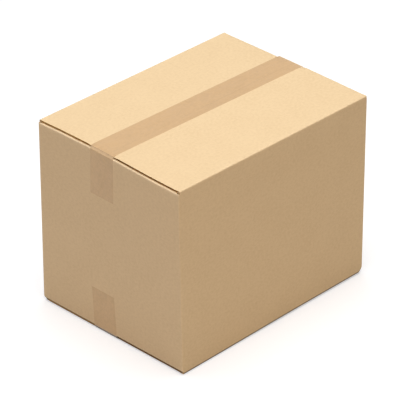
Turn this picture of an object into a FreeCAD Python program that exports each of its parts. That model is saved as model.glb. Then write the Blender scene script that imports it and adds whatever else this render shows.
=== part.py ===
"""A closed cardboard box: one folded corrugated blank, its joint glue and two strips of tape.

Frame: X along the box's length, Y across it, Z up, and the origin on the ground under its middle.
The long sides stand at -Y and +Y, the short ends at -X and +X. Lengths are in millimetres.
"""
import FreeCAD
import Part
import Sketcher
import os

# Driving dimensions. Each is a cell of the sheet, and every formula below reads the cells.
SIZES = {
    "box_length": 404.0,  # outside, end panel to end panel
    "box_width": 300.0,  # outside, side panel to side panel
    "box_height": 320.0,  # outside, bottom flaps to top flaps
    "board_thickness": 4.0,  # single-wall board with C flutes
    "liner_thickness": 0.4,  # each of the board's two facings
    "flute_depth": 3.0,  # how deep the open flute reads at an edge cut along the flutes
    "crease_width": 6.0,  # from a side panel's face, where the crease has crushed the flutes shut
    "fold_outer_radius": 2.0,  # outside every fold, which the crease makes tighter than the board
    "fold_inner_radius": 0.4,  # inside every fold
    "flap_setback": 2.8,  # end of an outer flap, in from the end panel's face
    "flap_clearance": 0.3,  # between an outer flap and the inner flaps under it
    "slot_floor_drop": 1.5,  # floor of a corner slot, below the inner flap's upper face
    "inner_flap_side_gap": 0.8,  # side of an inner flap to the side panel
    "seam_gap": 1.0,  # between the two outer flaps at the middle of the box
    "tab_width": 36.0,  # glue tab, from the side panel's face to the tab's free edge
    "tab_end_gap": 1.5,  # glue tab, short of the folds above and below it
    "tab_bevel": 8.0,  # how much its free edge is shorter still, at each end
    "joint_edge_inset": 2.0,  # the end panel's free edge, in from the side panel's face
    "glue_thickness": 0.1,  # glue film in the manufacturer's joint
    "glue_margin": 3.0,  # glue film, in from the tab's edges
    "tape_width": 48.0,
    "tape_thickness": 0.06,
    "top_tape_offset": 11.0,  # the top strip's middle line, to the +Y side of the seam
    "bottom_tape_offset": 13.0,  # the bottom strip's middle line, likewise
    "top_tape_tail": 76.0,  # how far the top strip runs down each end panel
    "bottom_tape_tail": 73.0,  # how far the bottom strip runs up each end panel
}

# Formulas that several pieces share. The carton's and the tapes' own frames stand at mid-height.
HALF_LENGTH = "sizes.box_length / 2"
HALF_WIDTH = "sizes.box_width / 2"
HALF_HEIGHT = "sizes.box_height / 2"
MID_HEIGHT = f"sizes.tape_thickness + {HALF_HEIGHT}"
BOARD = "sizes.board_thickness"
FOLD_RADIUS = "sizes.fold_outer_radius"
INNER_RADIUS = "sizes.fold_inner_radius"
FOLD_INSIDE = f"({BOARD} + {INNER_RADIUS})"
FLAP_END = f"({HALF_LENGTH} - sizes.flap_setback)"
JOINT_STEP = f"({BOARD} + sizes.glue_thickness)"
FLAP_REACH = f"({HALF_WIDTH} - sizes.seam_gap / 2)"
INNER_FLAP_TOP = f"({HALF_HEIGHT} - {BOARD} - sizes.flap_clearance)"
INNER_FOLD_FOOT = f"({INNER_FLAP_TOP} - {FOLD_INSIDE})"
SLOT_FLOOR = f"({INNER_FLAP_TOP} - sizes.slot_floor_drop)"
INNER_FLAP_SIDE = f"({HALF_WIDTH} - {BOARD} - sizes.inner_flap_side_gap)"
TAB_HALF_HEIGHT = f"({INNER_FOLD_FOOT} - sizes.tab_end_gap)"

SIGNS = (-1, 1)


def make_sheet(doc):
    """Fill the sheet: a row for each driving dimension, its name beside its number."""
    sheet = doc.addObject("Spreadsheet::Sheet", "sizes")
    for row, (name, value) in enumerate(SIZES.items(), start=1):
        sheet.set(f"A{row}", name)
        sheet.set(f"B{row}", str(value))
        sheet.setAlias(f"B{row}", name)
    doc.recompute()
    return sheet


def make_body(doc, label, height):
    """Start a body whose own frame stands at a height above the ground."""
    body = doc.addObject("PartDesign::Body", label)
    body.Label = label
    body.setExpression("Placement.Base.z", height)
    return body


def make_sketch(body, name, plane, offset=None):
    """Attach a sketch to one of the body's origin planes, or parallel to it at an offset."""
    planes = {feature.Role: feature for feature in body.Origin.OriginFeatures}
    sketch = body.newObject("Sketcher::SketchObject", name)
    sketch.AttachmentSupport = [(planes[plane], "")]
    sketch.MapMode = "FlatFace"
    if offset is not None:
        sketch.setExpression("AttachmentOffset.Base.z", offset)
    return sketch


def arc_between(start, end, radius, turn):
    """The short arc between two points, turning left (+1) or right (-1) on the way."""
    chord = end - start
    rise = max(radius * radius - chord.Length * chord.Length / 4, 0.0) ** 0.5
    left = FreeCAD.Vector(-chord.y, chord.x, 0).normalize()
    center = (start + end) / 2 + left * (turn * rise)
    first, last = (start, end) if turn > 0 else (end, start)
    circle = Part.Circle(center, FreeCAD.Vector(0, 0, 1), radius)
    return Part.ArcOfCircle(circle, circle.parameter(first), circle.parameter(last))


def add_outline(sketch, corners):
    """Draw one closed outline, with every corner and radius held by a formula.

    A corner is (across, up) before a straight edge, or (across, up, radius, turn) before a round one.
    """
    origin = (-1, 1)
    points = []
    for corner in corners:
        across, up = (sketch.evalExpression(formula) for formula in corner[:2])
        points.append(FreeCAD.Vector(across, up, 0))
    edges = []
    for index, corner in enumerate(corners):
        start, end = points[index], points[(index + 1) % len(points)]
        if len(corner) == 2:
            edge = sketch.addGeometry(Part.LineSegment(start, end), False)
            edges.append((edge, 1, 2))
            continue
        radius, turn = corner[2:]
        edge = sketch.addGeometry(arc_between(start, end, sketch.evalExpression(radius), turn), False)
        edges.append((edge, 1, 2) if turn > 0 else (edge, 2, 1))
        hold(sketch, Sketcher.Constraint("Radius", edge, sketch.evalExpression(radius)), radius)
    for index, corner in enumerate(corners):
        edge, first, _ = edges[index]
        before, _, last = edges[index - 1]
        sketch.addConstraint(Sketcher.Constraint("Coincident", before, last, edge, first))
        for kind, value, formula in zip(("DistanceX", "DistanceY"), points[index], corner):
            hold(sketch, Sketcher.Constraint(kind, *origin, edge, first, value), formula)


def hold(sketch, constraint, formula):
    """Add a constraint and bind its size to a formula."""
    sketch.setExpression(f"Constraints[{sketch.addConstraint(constraint)}]", formula)


def pad(body, name, sketch, length, symmetric=False):
    """Extrude a sketch into the body, to one side of its plane or equally to both."""
    feature = body.newObject("PartDesign::Pad", name)
    feature.Profile = sketch
    feature.SideType = "Symmetric" if symmetric else "One side"
    feature.setExpression("Length", length)
    return feature


def cut(body, name, sketch, depth, forward=False, symmetric=False):
    """Cut a sketch into the body: forward along its plane's normal, back from it, or both ways."""
    feature = body.newObject("PartDesign::Pocket", name)
    feature.Profile = sketch
    feature.SideType = "Symmetric" if symmetric else "One side"
    feature.Reversed = forward
    feature.setExpression("Length", depth)
    return feature


def wall_outline():
    """The wall seen from above: end panel, three folds, and the fold into the glue tab."""
    along = f"({HALF_LENGTH} - {FOLD_RADIUS})"
    across = f"({HALF_WIDTH} - {FOLD_RADIUS})"
    face_along = f"({HALF_LENGTH} - {BOARD})"
    face_across = f"({HALF_WIDTH} - {BOARD})"
    inside_along = f"({HALF_LENGTH} - {FOLD_INSIDE})"
    inside_across = f"({HALF_WIDTH} - {FOLD_INSIDE})"
    tab_face = f"({HALF_LENGTH} - {JOINT_STEP})"
    free_edge = f"({HALF_WIDTH} - sizes.joint_edge_inset)"
    flute_floor = f"({free_edge} - sizes.flute_depth)"
    return [
        (HALF_LENGTH, free_edge),
        (HALF_LENGTH, f"-{across}", FOLD_RADIUS, -1),
        (along, f"-{HALF_WIDTH}"),
        (f"-{along}", f"-{HALF_WIDTH}", FOLD_RADIUS, -1),
        (f"-{HALF_LENGTH}", f"-{across}"),
        (f"-{HALF_LENGTH}", across, FOLD_RADIUS, -1),
        (f"-{along}", HALF_WIDTH),
        (f"{tab_face} - {FOLD_RADIUS}", HALF_WIDTH, FOLD_RADIUS, -1),
        (tab_face, across),
        (tab_face, inside_across),
        (f"{tab_face} - {BOARD}", inside_across, INNER_RADIUS, 1),
        (f"{tab_face} - {FOLD_INSIDE}", face_across),
        (f"-{inside_along}", face_across, INNER_RADIUS, 1),
        (f"-{face_along}", inside_across),
        (f"-{face_along}", f"-{inside_across}", INNER_RADIUS, 1),
        (f"-{inside_along}", f"-{face_across}"),
        (inside_along, f"-{face_across}", INNER_RADIUS, 1),
        (face_along, f"-{inside_across}"),
        (face_along, free_edge),
        (f"{face_along} + sizes.liner_thickness", free_edge),
        (f"{face_along} + sizes.liner_thickness", flute_floor),
        (f"{HALF_LENGTH} - sizes.liner_thickness", flute_floor),
        (f"{HALF_LENGTH} - sizes.liner_thickness", free_edge),
    ]


def flap_outline(half_span, top, tip, side, end):
    """A flap seen along its fold: the root on the wall, the fold, and the flap out to its tip.

    All roots start level with the foot of the inner flaps' folds, which therefore have no upright.
    """
    turn = side * end
    upright = [] if top == INNER_FLAP_TOP else [(f"{half_span} - {BOARD}", INNER_FOLD_FOOT)]
    corners = [
        (half_span, INNER_FOLD_FOOT),
        (half_span, f"{top} - {FOLD_RADIUS}", FOLD_RADIUS, turn),
        (f"{half_span} - {FOLD_RADIUS}", top),
        (tip, top),
        (tip, f"{top} - {BOARD}"),
        (f"{half_span} - {FOLD_INSIDE}", f"{top} - {BOARD}", INNER_RADIUS, -turn),
        (f"{half_span} - {BOARD}", f"{top} - {FOLD_INSIDE}"),
    ]
    return mirrored(corners + upright, side, end)


def root_outline(half_span, side, end):
    """The stretch of wall top that a flap's root takes the place of, between two slots."""
    return rectangle(f"{half_span} - {FOLD_INSIDE}", half_span, INNER_FOLD_FOOT, SLOT_FLOOR, side, end)


def flute_outline(side, end):
    """The open flute in an outer flap's end: between the liners, from the crease to the seam."""
    middle = f"({HALF_HEIGHT} - {BOARD} / 2)"
    half_gap = f"({BOARD} / 2 - sizes.liner_thickness)"
    return rectangle("sizes.seam_gap / 2", f"{HALF_WIDTH} - sizes.crease_width",
                     f"{middle} - {half_gap}", f"{middle} + {half_gap}", side, end)


def rectangle(near, far, low, high, side, end):
    """A rectangle between two formulas each way, in the quadrant of the two signs."""
    return mirrored([(near, low), (far, low), (far, high), (near, high)], side, end)


def mirrored(corners, side, end):
    """Put an outline drawn in the positive quadrant into the quadrant of the two signs."""
    return [(f"{side} * ({across})", f"{end} * ({up})", *rest) for across, up, *rest in corners]


def make_carton(doc):
    """The folded blank: walls, glue tab, four outer and four inner flaps, in one piece."""
    body = make_body(doc, "carton", MID_HEIGHT)
    wall_plan = make_sketch(body, "wall_plan", "XY_Plane")
    add_outline(wall_plan, wall_outline())
    pad(body, "walls", wall_plan, f"2 * {SLOT_FLOOR}", symmetric=True)

    tab_face = make_sketch(body, "tab_face", "YZ_Plane", f"{HALF_LENGTH} - {JOINT_STEP} - {BOARD}")
    tab_fold = f"({HALF_WIDTH} - {FOLD_INSIDE})"
    tab_edge = f"({HALF_WIDTH} - sizes.tab_width)"
    edge_half_height = f"({TAB_HALF_HEIGHT} - sizes.tab_bevel)"
    add_outline(tab_face, [
        (tab_fold, f"-{TAB_HALF_HEIGHT}"),
        (tab_fold, TAB_HALF_HEIGHT),
        (tab_edge, edge_half_height),
        (tab_edge, f"-{edge_half_height}"),
    ])
    pad(body, "glue_tab", tab_face, BOARD)

    inner_tip = f"{HALF_LENGTH} - {FLAP_REACH}"
    roots = make_sketch(body, "inner_flap_roots_profile", "XZ_Plane")
    flaps = make_sketch(body, "inner_flap_profile", "XZ_Plane")
    for side in SIGNS:
        for end in SIGNS:
            add_outline(roots, root_outline(HALF_LENGTH, side, end))
            add_outline(flaps, flap_outline(HALF_LENGTH, INNER_FLAP_TOP, inner_tip, side, end))
    inner_width = f"2 * {INNER_FLAP_SIDE}"
    cuts = [cut(body, "inner_flap_roots", roots, inner_width, symmetric=True)]
    pad(body, "inner_flaps", flaps, inner_width, symmetric=True)

    # The side panel at the joint is shorter by the end panel and the glue that lap over its tab.
    for side, place, shortfall in ((-1, "front", "0"), (1, "rear", JOINT_STEP)):
        roots = make_sketch(body, f"{place}_flap_roots_profile", "YZ_Plane", f"-{FLAP_END}")
        flaps = make_sketch(body, f"{place}_flap_profile", "YZ_Plane", f"-{FLAP_END}")
        for end in SIGNS:
            add_outline(roots, root_outline(HALF_WIDTH, side, end))
            add_outline(flaps, flap_outline(HALF_WIDTH, HALF_HEIGHT, "sizes.seam_gap / 2", side, end))
        outer_width = f"2 * {FLAP_END} - {shortfall}"
        cuts.append(cut(body, f"{place}_flap_roots", roots, outer_width, forward=True))
        pad(body, f"{place}_outer_flaps", flaps, outer_width)
        for forward, plane in ((True, f"-{FLAP_END}"), (False, f"{FLAP_END} - {shortfall}")):
            name = f"{place}_open_flute_{'near' if forward else 'far'}"
            flute = make_sketch(body, f"{name}_profile", "YZ_Plane", plane)
            for end in SIGNS:
                add_outline(flute, flute_outline(side, end))
            cuts.append(cut(body, name, flute, "sizes.flute_depth", forward=forward))
    return body, cuts


def tape_outline(end, tail):
    """A strip of tape seen from the side: flat along the flaps, over each flap's end and down its panel.

    From the outer flap's edge it leans in a straight line to the inner flap's fold, which it meets
    in a tangent. The lean is the angle of that line below the level. The outline goes round the
    strip's under face first and comes back along its upper face.
    """
    inset = f"({FOLD_RADIUS} - sizes.flap_setback)"
    fold_foot_height = f"({INNER_FLAP_TOP} - {FOLD_RADIUS})"
    step = f"({HALF_HEIGHT} - {fold_foot_height})"
    lean = f"(atan({inset} / {step}) + acos({FOLD_RADIUS} / sqrt({inset}^2 + {step}^2)))"
    outline = []
    for lift, turn, sides in (("0", end, (1, -1)), ("sizes.tape_thickness", -end, (-1, 1))):
        face = f"{HALF_LENGTH} + {lift}"
        radius = f"({FOLD_RADIUS} + {lift})"
        tail_end = (face, f"{HALF_HEIGHT} - {tail}")
        fold_foot = (face, fold_foot_height)
        fold_head = (f"{HALF_LENGTH} - {FOLD_RADIUS} + {radius} * sin({lean})",
                     f"{fold_foot_height} + {radius} * cos({lean})")
        flap_edge = (f"{FLAP_END} + {lift} * tan({lean} / 2)", f"{HALF_HEIGHT} + {lift}")
        rising = [tail_end, (*fold_foot, radius, turn), fold_head, flap_edge]
        falling = [flap_edge, (*fold_head, radius, turn), fold_foot, tail_end]
        for side, corners in zip(sides, (rising, falling)):
            outline += mirrored(corners, side, end)
    return outline


def make_tape(doc, label, end):
    """One strip of tape, over the top seam (+1) or under the bottom one (-1)."""
    body = make_body(doc, label, MID_HEIGHT)
    body.setExpression("Placement.Base.y", f"sizes.{label}_offset")
    profile = make_sketch(body, f"{label}_profile", "XZ_Plane")
    add_outline(profile, tape_outline(end, f"sizes.{label}_tail"))
    pad(body, f"{label}_strip", profile, "sizes.tape_width", symmetric=True)
    return body


def make_glue(doc):
    """The glue film between the glue tab and the end panel, clear of the tab's edges."""
    half_height = f"({TAB_HALF_HEIGHT} - sizes.tab_bevel - sizes.glue_margin)"
    tab_flat = f"(sizes.tab_width - {FOLD_INSIDE})"
    film = doc.addObject("Part::Box", "joint_glue")
    film.Label = "joint_glue"
    film.setExpression("Length", "sizes.glue_thickness")
    film.setExpression("Width", f"{tab_flat} - 2 * sizes.glue_margin")
    film.setExpression("Height", f"2 * {half_height}")
    film.setExpression("Placement.Base.x", f"{HALF_LENGTH} - {JOINT_STEP}")
    film.setExpression("Placement.Base.y", f"{HALF_WIDTH} - sizes.tab_width + sizes.glue_margin")
    film.setExpression("Placement.Base.z", f"{MID_HEIGHT} - {half_height}")
    return film


def check(doc, pieces, cuts):
    """Stop on a failed object, an empty or invalid shape, loose parts, or a cut that missed."""
    for item in doc.Objects:
        if {"Invalid", "Error"} & set(item.State):
            raise RuntimeError(f"{item.Name} failed: {item.State}")
    for piece in pieces:
        if piece.Shape.isNull() or not piece.Shape.isValid() or len(piece.Shape.Solids) != 1:
            raise RuntimeError(f"{piece.Label} is not one valid solid")
    for feature in cuts:
        if feature.Shape.Volume >= feature.BaseFeature.Shape.Volume:
            raise RuntimeError(f"{feature.Name} cuts nothing")


def main():
    """Build the box and write one file for each piece."""
    doc = FreeCAD.newDocument("closed_box")
    make_sheet(doc)
    carton, cuts = make_carton(doc)
    pieces = [
        carton,
        make_glue(doc),
        make_tape(doc, "top_tape", 1),
        make_tape(doc, "bottom_tape", -1),
    ]
    doc.recompute()
    check(doc, pieces, cuts)
    os.makedirs("parts", exist_ok=True)
    for piece in pieces:
        piece.Shape.exportStep(os.path.join("parts", f"{piece.Label}.step"))
        print(f"{piece.Label}: {piece.Shape.Volume:.1f} mm3")


main()
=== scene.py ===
"""A closed cardboard box: one folded corrugated blank, the glue in its joint and two strips of tape.

Frame: X along the box's length, Y across it, Z up, and the origin on the ground under its middle.
Shapes are worked out in millimetres and written into the meshes in metres.
"""
import logging
import math
from dataclasses import dataclass, field
from enum import Enum

import bpy
import numpy as np
from mathutils import Matrix, Vector


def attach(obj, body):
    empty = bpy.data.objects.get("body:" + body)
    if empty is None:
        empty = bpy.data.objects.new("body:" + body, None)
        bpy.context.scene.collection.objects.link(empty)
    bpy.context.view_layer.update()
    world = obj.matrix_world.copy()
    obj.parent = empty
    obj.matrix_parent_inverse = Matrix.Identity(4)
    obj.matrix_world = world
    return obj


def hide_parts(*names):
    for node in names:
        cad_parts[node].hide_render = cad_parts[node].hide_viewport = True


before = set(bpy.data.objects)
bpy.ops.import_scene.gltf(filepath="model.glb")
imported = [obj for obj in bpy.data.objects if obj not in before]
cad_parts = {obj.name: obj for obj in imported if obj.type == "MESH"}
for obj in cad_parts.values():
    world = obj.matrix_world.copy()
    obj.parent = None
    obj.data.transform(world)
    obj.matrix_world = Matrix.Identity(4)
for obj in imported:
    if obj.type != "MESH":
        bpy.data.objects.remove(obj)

LOG = logging.getLogger("closed_box")
MM = 0.001
IMAGE_SIZE = 400
FLUTE_PITCH = 0.0076
SHARP_ANGLE = math.radians(35)
TINY = 1e-6

Color = tuple[float, float, float]
Place = tuple[float, float, float]
Span = tuple[float, float]


class Slot(Enum):
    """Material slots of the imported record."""

    BOARD = "kraft_board"
    TAPE = "packing_tape"


class Flap(Enum):
    """What stands above and below a column of the blank."""

    NONE = 0
    OUTER = 1
    INNER = 2


class BoardFace(Enum):
    """Which of the carton's materials a face takes."""

    LINER = 0
    PAPER_EDGE = 1
    HOLLOW = 2
    WAVE = 3


@dataclass(frozen=True)
class BoxSizes:
    """The box's sizes in millimetres.

    The box, its board, its flaps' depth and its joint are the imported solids'. Where the outer flaps
    end along the box, the creases' roundness and how deep the flutes stand open follow this one box.

    Attributes:
        length: Outside length.
        width: Outside width.
        height: Height over the outer flaps.
        board: The board's thickness.
        liner: A liner's thickness.
        flute_depth: How deep the flutes stand open at a flap's cut end.
        shallow_flute: How deep they do at the rear flaps' near end.
        crease_width: From a long wall's face to where a flap's flutes are open again.
        fold_radius: Outer radius of a flap's fold.
        corner_radius: Outer radius of an upright fold.
        inner_radius: Inner radius of every fold.
        near_setback: From the near end's face to the outer flaps' cut ends.
        far_setback: The same at the far end.
        flap_clearance: Air between outer and inner flaps.
        slot_floor_drop: From an inner flap's upper face down to the slots' floor.
        inner_flap_side_gap: From a long wall's inner face to an inner flap's side.
        seam_gap: Width of the seam between the outer flaps.
        tab_width: From the rear wall's outer face to the glue tab's edge.
        tab_end_gap: How far the glue tab's ends stop short of the inner flaps' folds.
        tab_bevel: How much further they stop short at its edge.
        joint_edge_inset: From the rear wall's outer face to the joint's free edge.
        glue: The glue film's thickness.
        tape_thickness: The tape's thickness.
    """

    length: float = 404.0
    width: float = 300.0
    height: float = 320.0
    board: float = 4.0
    liner: float = 0.4
    flute_depth: float = 2.2
    shallow_flute: float = 0.7
    crease_width: float = 3.0
    fold_radius: float = 2.0
    corner_radius: float = 1.0
    inner_radius: float = 0.4
    near_setback: float = 2.4
    far_setback: float = 1.1
    flap_clearance: float = 0.3
    slot_floor_drop: float = 0.2
    inner_flap_side_gap: float = 0.8
    seam_gap: float = 1.0
    tab_width: float = 36.0
    tab_end_gap: float = 1.5
    tab_bevel: float = 8.0
    joint_edge_inset: float = 2.0
    glue: float = 0.1
    tape_thickness: float = 0.06

    @property
    def half_length(self) -> float:
        """Half the outside length."""
        return self.length / 2

    @property
    def half_width(self) -> float:
        """Half the outside width."""
        return self.width / 2

    @property
    def half_height(self) -> float:
        """Half the height over the outer flaps."""
        return self.height / 2

    @property
    def mid_height(self) -> float:
        """Height of the box's middle above the ground."""
        return self.tape_thickness + self.half_height

    @property
    def fold_inside(self) -> float:
        """From a panel's outer face to where the inside of a fold begins."""
        return self.board + self.inner_radius

    @property
    def inner_flap_top(self) -> float:
        """Upper face of an inner flap above mid-height."""
        return self.half_height - self.board - self.flap_clearance

    @property
    def inner_fold_foot(self) -> float:
        """Where the inside of an inner flap's fold begins, above mid-height."""
        return self.inner_flap_top - self.fold_inside

    @property
    def slot_floor(self) -> float:
        """Floor of a corner slot above mid-height."""
        return self.inner_flap_top - self.slot_floor_drop

    @property
    def near_end(self) -> float:
        """Where the outer flaps end towards -X, measured from the middle."""
        return self.half_length - self.near_setback

    @property
    def far_end(self) -> float:
        """Where the outer flaps end towards +X."""
        return self.half_length - self.far_setback

    @property
    def flap_reach(self) -> float:
        """Every flap's depth, from the outer face of the panel it folds from."""
        return self.half_width - self.seam_gap / 2

    @property
    def inner_flap_side(self) -> float:
        """Half the width of an inner flap."""
        return self.half_width - self.board - self.inner_flap_side_gap

    @property
    def joint_step(self) -> float:
        """Board and glue that lap over the glue tab."""
        return self.board + self.glue


SIZES = BoxSizes()


def smooth_step(value: np.ndarray, low: float, high: float) -> np.ndarray:
    """Rise from 0 to 1 between two values, level at both ends: t squared times (3 - 2t).

    Args:
        value: Numbers to map.
        low: Where the rise begins.
        high: Where it ends.

    Returns:
        The share of the rise at each number.
    """
    t = np.clip((value - low) / (high - low), 0.0, 1.0)
    return t * t * (3.0 - 2.0 * t)


def spaced(stops: list[float], step: float) -> np.ndarray:
    """Divide the runs between stops into equal parts no longer than a step.

    Args:
        stops: Rising or falling positions that must be kept.
        step: Longest allowed part.

    Returns:
        All positions, the stops among them.
    """
    runs = [np.linspace(low, high, max(1, math.ceil(abs(high - low) / step)) + 1)[:-1]
            for low, high in zip(stops, stops[1:])]
    return np.concatenate([*runs, [stops[-1]]])


def bell(distance: np.ndarray, reach: float) -> np.ndarray:
    """Fall off from 1 with the square of the distance: exp(-(distance / reach) squared)."""
    return np.exp(-(distance / reach) ** 2)


@dataclass(frozen=True)
class Settling:
    """How the taped box has given way a little: one field that moves board and tape alike.

    Lengths are in millimetres. A span is a pair of shares of the half length or half width, from -1
    to 1, between which a smooth step rises.

    Attributes:
        crown: How far the long top folds have sunk below the seam.
        lift: How far the front long bottom fold stands off the ground towards the far end.
        lift_span: Where along the box that lift rises.
        crush: How far the two outer bottom corners, left and right, have been knocked in.
        crush_run: Length over which they have, along the box and across it.
        crush_height: The height over which they have, as a multiple of that length.
        crush_rise: How far their folds went up, as a share of the crush.
        bow: How far the middle of a wall has drawn in.
        foot: How far the front corner's foot is racked in along the box.
        head: How far the tape has drawn the near end's top in, from the tape to the rear corner.
        head_span: Where across the box that pull rises.
        head_loss: The share of the pull that is lost again towards the rear corner.
        head_loss_span: Where across the box that loss rises.
        far_head: How far the right-hand corner's head is racked in.
        far_sink: How far that head has sunk.
    """

    crown: float = 1.0
    lift: float = 2.2
    lift_span: Span = (-1.1, 0.5)
    crush: float = 1.6
    crush_run: float = 8.0
    crush_height: float = 1.2
    crush_rise: float = 0.5
    bow: float = 0.5
    foot: float = 5.3
    head: float = 4.0
    head_span: Span = (-0.75, 0.35)
    head_loss: float = 0.25
    head_loss_span: Span = (0.7, 1.0)
    far_head: float = 0.8
    far_sink: float = 0.8

    def moved(self, points: np.ndarray) -> np.ndarray:
        """Move points given about the box's middle.

        The long top folds sink, and the front bottom fold lifts, with the square of the distance
        from the seam and in smooth steps of the height. A wall draws in by the product of two half
        sine waves, along it and up it. Racking moves a corner's head or foot and fades in straight
        lines to nothing at the corners beside it; along the near end's top it follows smooth steps.
        A knocked corner moves by the product of three smooth steps, towards it from the middle.

        Args:
            points: Positions in millimetres, the last axis being x, y, z about mid-height.

        Returns:
            The moved positions.
        """
        x, y, z = np.moveaxis(points, -1, 0)
        along, across, up = x / SIZES.half_length, y / SIZES.half_width, z / SIZES.half_height
        near, front, top = (np.clip(0.5 - 0.5 * v, 0, 1) for v in (along, across, -up))
        rise = smooth_step(up, -1.0, 1.0)
        sink = self.crown * across**2 * rise + self.far_sink * (1 - near) * front * top
        lifted = np.clip(-across, 0, 1) ** 2 * smooth_step(along, *self.lift_span)
        sink -= self.lift * lifted * (1 - rise)
        hump = np.cos(0.5 * np.pi * np.clip(up, -1, 1))
        draw_y = self.bow * hump * np.cos(0.5 * np.pi * np.clip(along, -1, 1)) * across
        draw_x = self.bow * hump * np.cos(0.5 * np.pi * np.clip(across, -1, 1)) * along
        pulled = (smooth_step(across, *self.head_span)
                  - self.head_loss * smooth_step(across, *self.head_loss_span))
        racked = near * (self.foot * front * (1 - top) + self.head * pulled * top)
        racked -= (1 - near) * self.far_head * front * top
        run = self.crush_run
        knocked = (smooth_step(np.abs(x), SIZES.half_length - run, SIZES.half_length)
                   * smooth_step(np.abs(y), SIZES.half_width - run, SIZES.half_width)
                   * smooth_step(-z, SIZES.half_height - self.crush_height * run, SIZES.half_height)
                   * (x * y < 0) * self.crush)
        return np.stack([x - draw_x + racked - np.sign(x) * knocked,
                         y - draw_y - np.sign(y) * knocked,
                         z - sink + self.crush_rise * knocked], axis=-1)


SETTLING = Settling()


@dataclass(frozen=True)
class TapedSeam:
    """Where a strip of tape runs over a seam, and how the flaps' ends were pressed down under it.

    Attributes:
        offset: The strip's middle line from the seam, at the box's middle.
        skew: How far that line strays over half the length.
        width: The strip's width.
        press: How far the flaps' cut ends were crushed down under the strip.
        press_run: Length over which they were.
        press_fade: Distances beside the strip's edge between which the press fades out.
    """

    offset: float
    skew: float = 0.0
    width: float = 48.0
    press: float = 0.0
    press_run: float = 6.0
    press_fade: Span = (1.0, 10.0)

    def middle(self, x: np.ndarray) -> np.ndarray:
        """The strip's middle line across the box, at places along it."""
        return self.offset + self.skew * x / SIZES.half_length

    def end_share(self, away: np.ndarray) -> np.ndarray:
        """Share of the press at a distance in from a flap's cut end."""
        return 1.0 - smooth_step(away, 0.0, self.press_run)

    def pressed(self, x: np.ndarray, y: np.ndarray) -> np.ndarray:
        """How far the flaps are crushed down: full under the strip at their ends, fading both ways.

        Args:
            x: Places along the box.
            y: Places across it.

        Returns:
            The depth in millimetres.
        """
        away = np.minimum(x + SIZES.near_end, SIZES.far_end - x)
        aside = np.abs(y - self.middle(x)) - self.width / 2
        return self.press * self.end_share(away) * (1.0 - smooth_step(aside, *self.press_fade))


TOP_SEAM = TapedSeam(offset=10.3, skew=-3.1, width=49.4, press=0.9)
BOTTOM_SEAM = TapedSeam(offset=13.0)


@dataclass
class Lattice:
    """A bent block grid whose filled cells make one closed solid.

    Attributes:
        points: Corner positions, shape (columns, rows, layers, 3), in millimetres about mid-height.
        filled: Which cells hold material, shape (columns - 1, rows - 1, layers - 1).
        flat: Each corner's place on the flat sheet and through it, in millimetres, shape (columns,
            rows, layers, 3).
    """

    points: np.ndarray
    filled: np.ndarray
    flat: np.ndarray

    def shell(self) -> tuple[np.ndarray, np.ndarray, np.ndarray, np.ndarray]:
        """Take the faces between filled and empty cells.

        Along each axis in turn, a face stands wherever one neighbour is filled and the other isn't.
        Columns, rows and layers form a right-handed frame, so a face turned from the second axis to
        the third looks along the first, and is reversed where the filled cell lies beyond it.

        Returns:
            Face corner indices (faces, 4), the axis each face looks along, its layer, and its
            corner places along the two other axes of the sheet (faces, 4, 2).
        """
        shape = self.points.shape[:3]
        index = np.arange(math.prod(shape)).reshape(shape)
        faces, axes, layers, places = [], [], [], []
        for axis in range(3):
            second, third = (axis + 1) % 3, (axis + 2) % 3
            wide = np.pad(self.filled, [(1, 1) if a == axis else (0, 0) for a in range(3)])
            before = np.take(wide, range(wide.shape[axis] - 1), axis=axis)
            after = np.take(wide, range(1, wide.shape[axis]), axis=axis)
            for low_filled in (True, False):
                cell = np.argwhere(before & ~after if low_filled else after & ~before)
                corners = np.repeat(cell[:, None, :], 4, axis=1)
                corners[:, (1, 2), second] += 1
                corners[:, (2, 3), third] += 1
                if not low_filled:
                    corners = corners[:, ::-1]
                at = (corners[..., 0], corners[..., 1], corners[..., 2])
                faces.append(index[at])
                axes.append(np.full(len(cell), axis))
                layers.append(cell[:, 2])
                places.append(np.delete(self.flat[at], axis, axis=-1))
        return (np.concatenate(faces), np.concatenate(axes), np.concatenate(layers),
                np.concatenate(places))


def make_mesh(name: str, points: np.ndarray, faces: np.ndarray, places: np.ndarray,
              values: dict[str, np.ndarray] | None = None) -> bpy.types.Object:
    """Put quads into a new mesh object in the scene.

    Args:
        name: The object's name.
        points: Corner positions (n, 3) in millimetres about mid-height.
        faces: Corner indices (m, 4).
        places: Corner places on the flat sheet (m, 4, 2) in millimetres.
        values: Further values at the corners (n,), kept as attributes of those names.

    Returns:
        The new object, at the origin, smooth but for its sharp edges.
    """
    used, packed = np.unique(faces, return_inverse=True)
    packed = packed.reshape(faces.shape)
    kept = points[used] + (0.0, 0.0, SIZES.mid_height)
    mesh = bpy.data.meshes.new(name)
    mesh.vertices.add(len(kept))
    mesh.vertices.foreach_set("co", (kept * MM).astype(np.float32).ravel())
    mesh.loops.add(packed.size)
    mesh.loops.foreach_set("vertex_index", packed.astype(np.int32).ravel())
    mesh.polygons.add(len(packed))
    mesh.polygons.foreach_set("loop_start", np.arange(0, packed.size, 4, dtype=np.int32))
    mesh.polygons.foreach_set("use_smooth", np.ones(len(packed), bool))
    mesh.update(calc_edges=True)
    sheet = mesh.uv_layers.new(name="sheet")
    sheet.data.foreach_set("uv", (places * MM).astype(np.float32).ravel())
    for label, numbers in (values or {}).items():
        attribute = mesh.attributes.new(label, "FLOAT", "POINT")
        attribute.data.foreach_set("value", numbers[used].astype(np.float32))
    mesh.set_sharp_from_angle(angle=SHARP_ANGLE)
    mesh.validate()
    return place_object(name, mesh)


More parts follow.
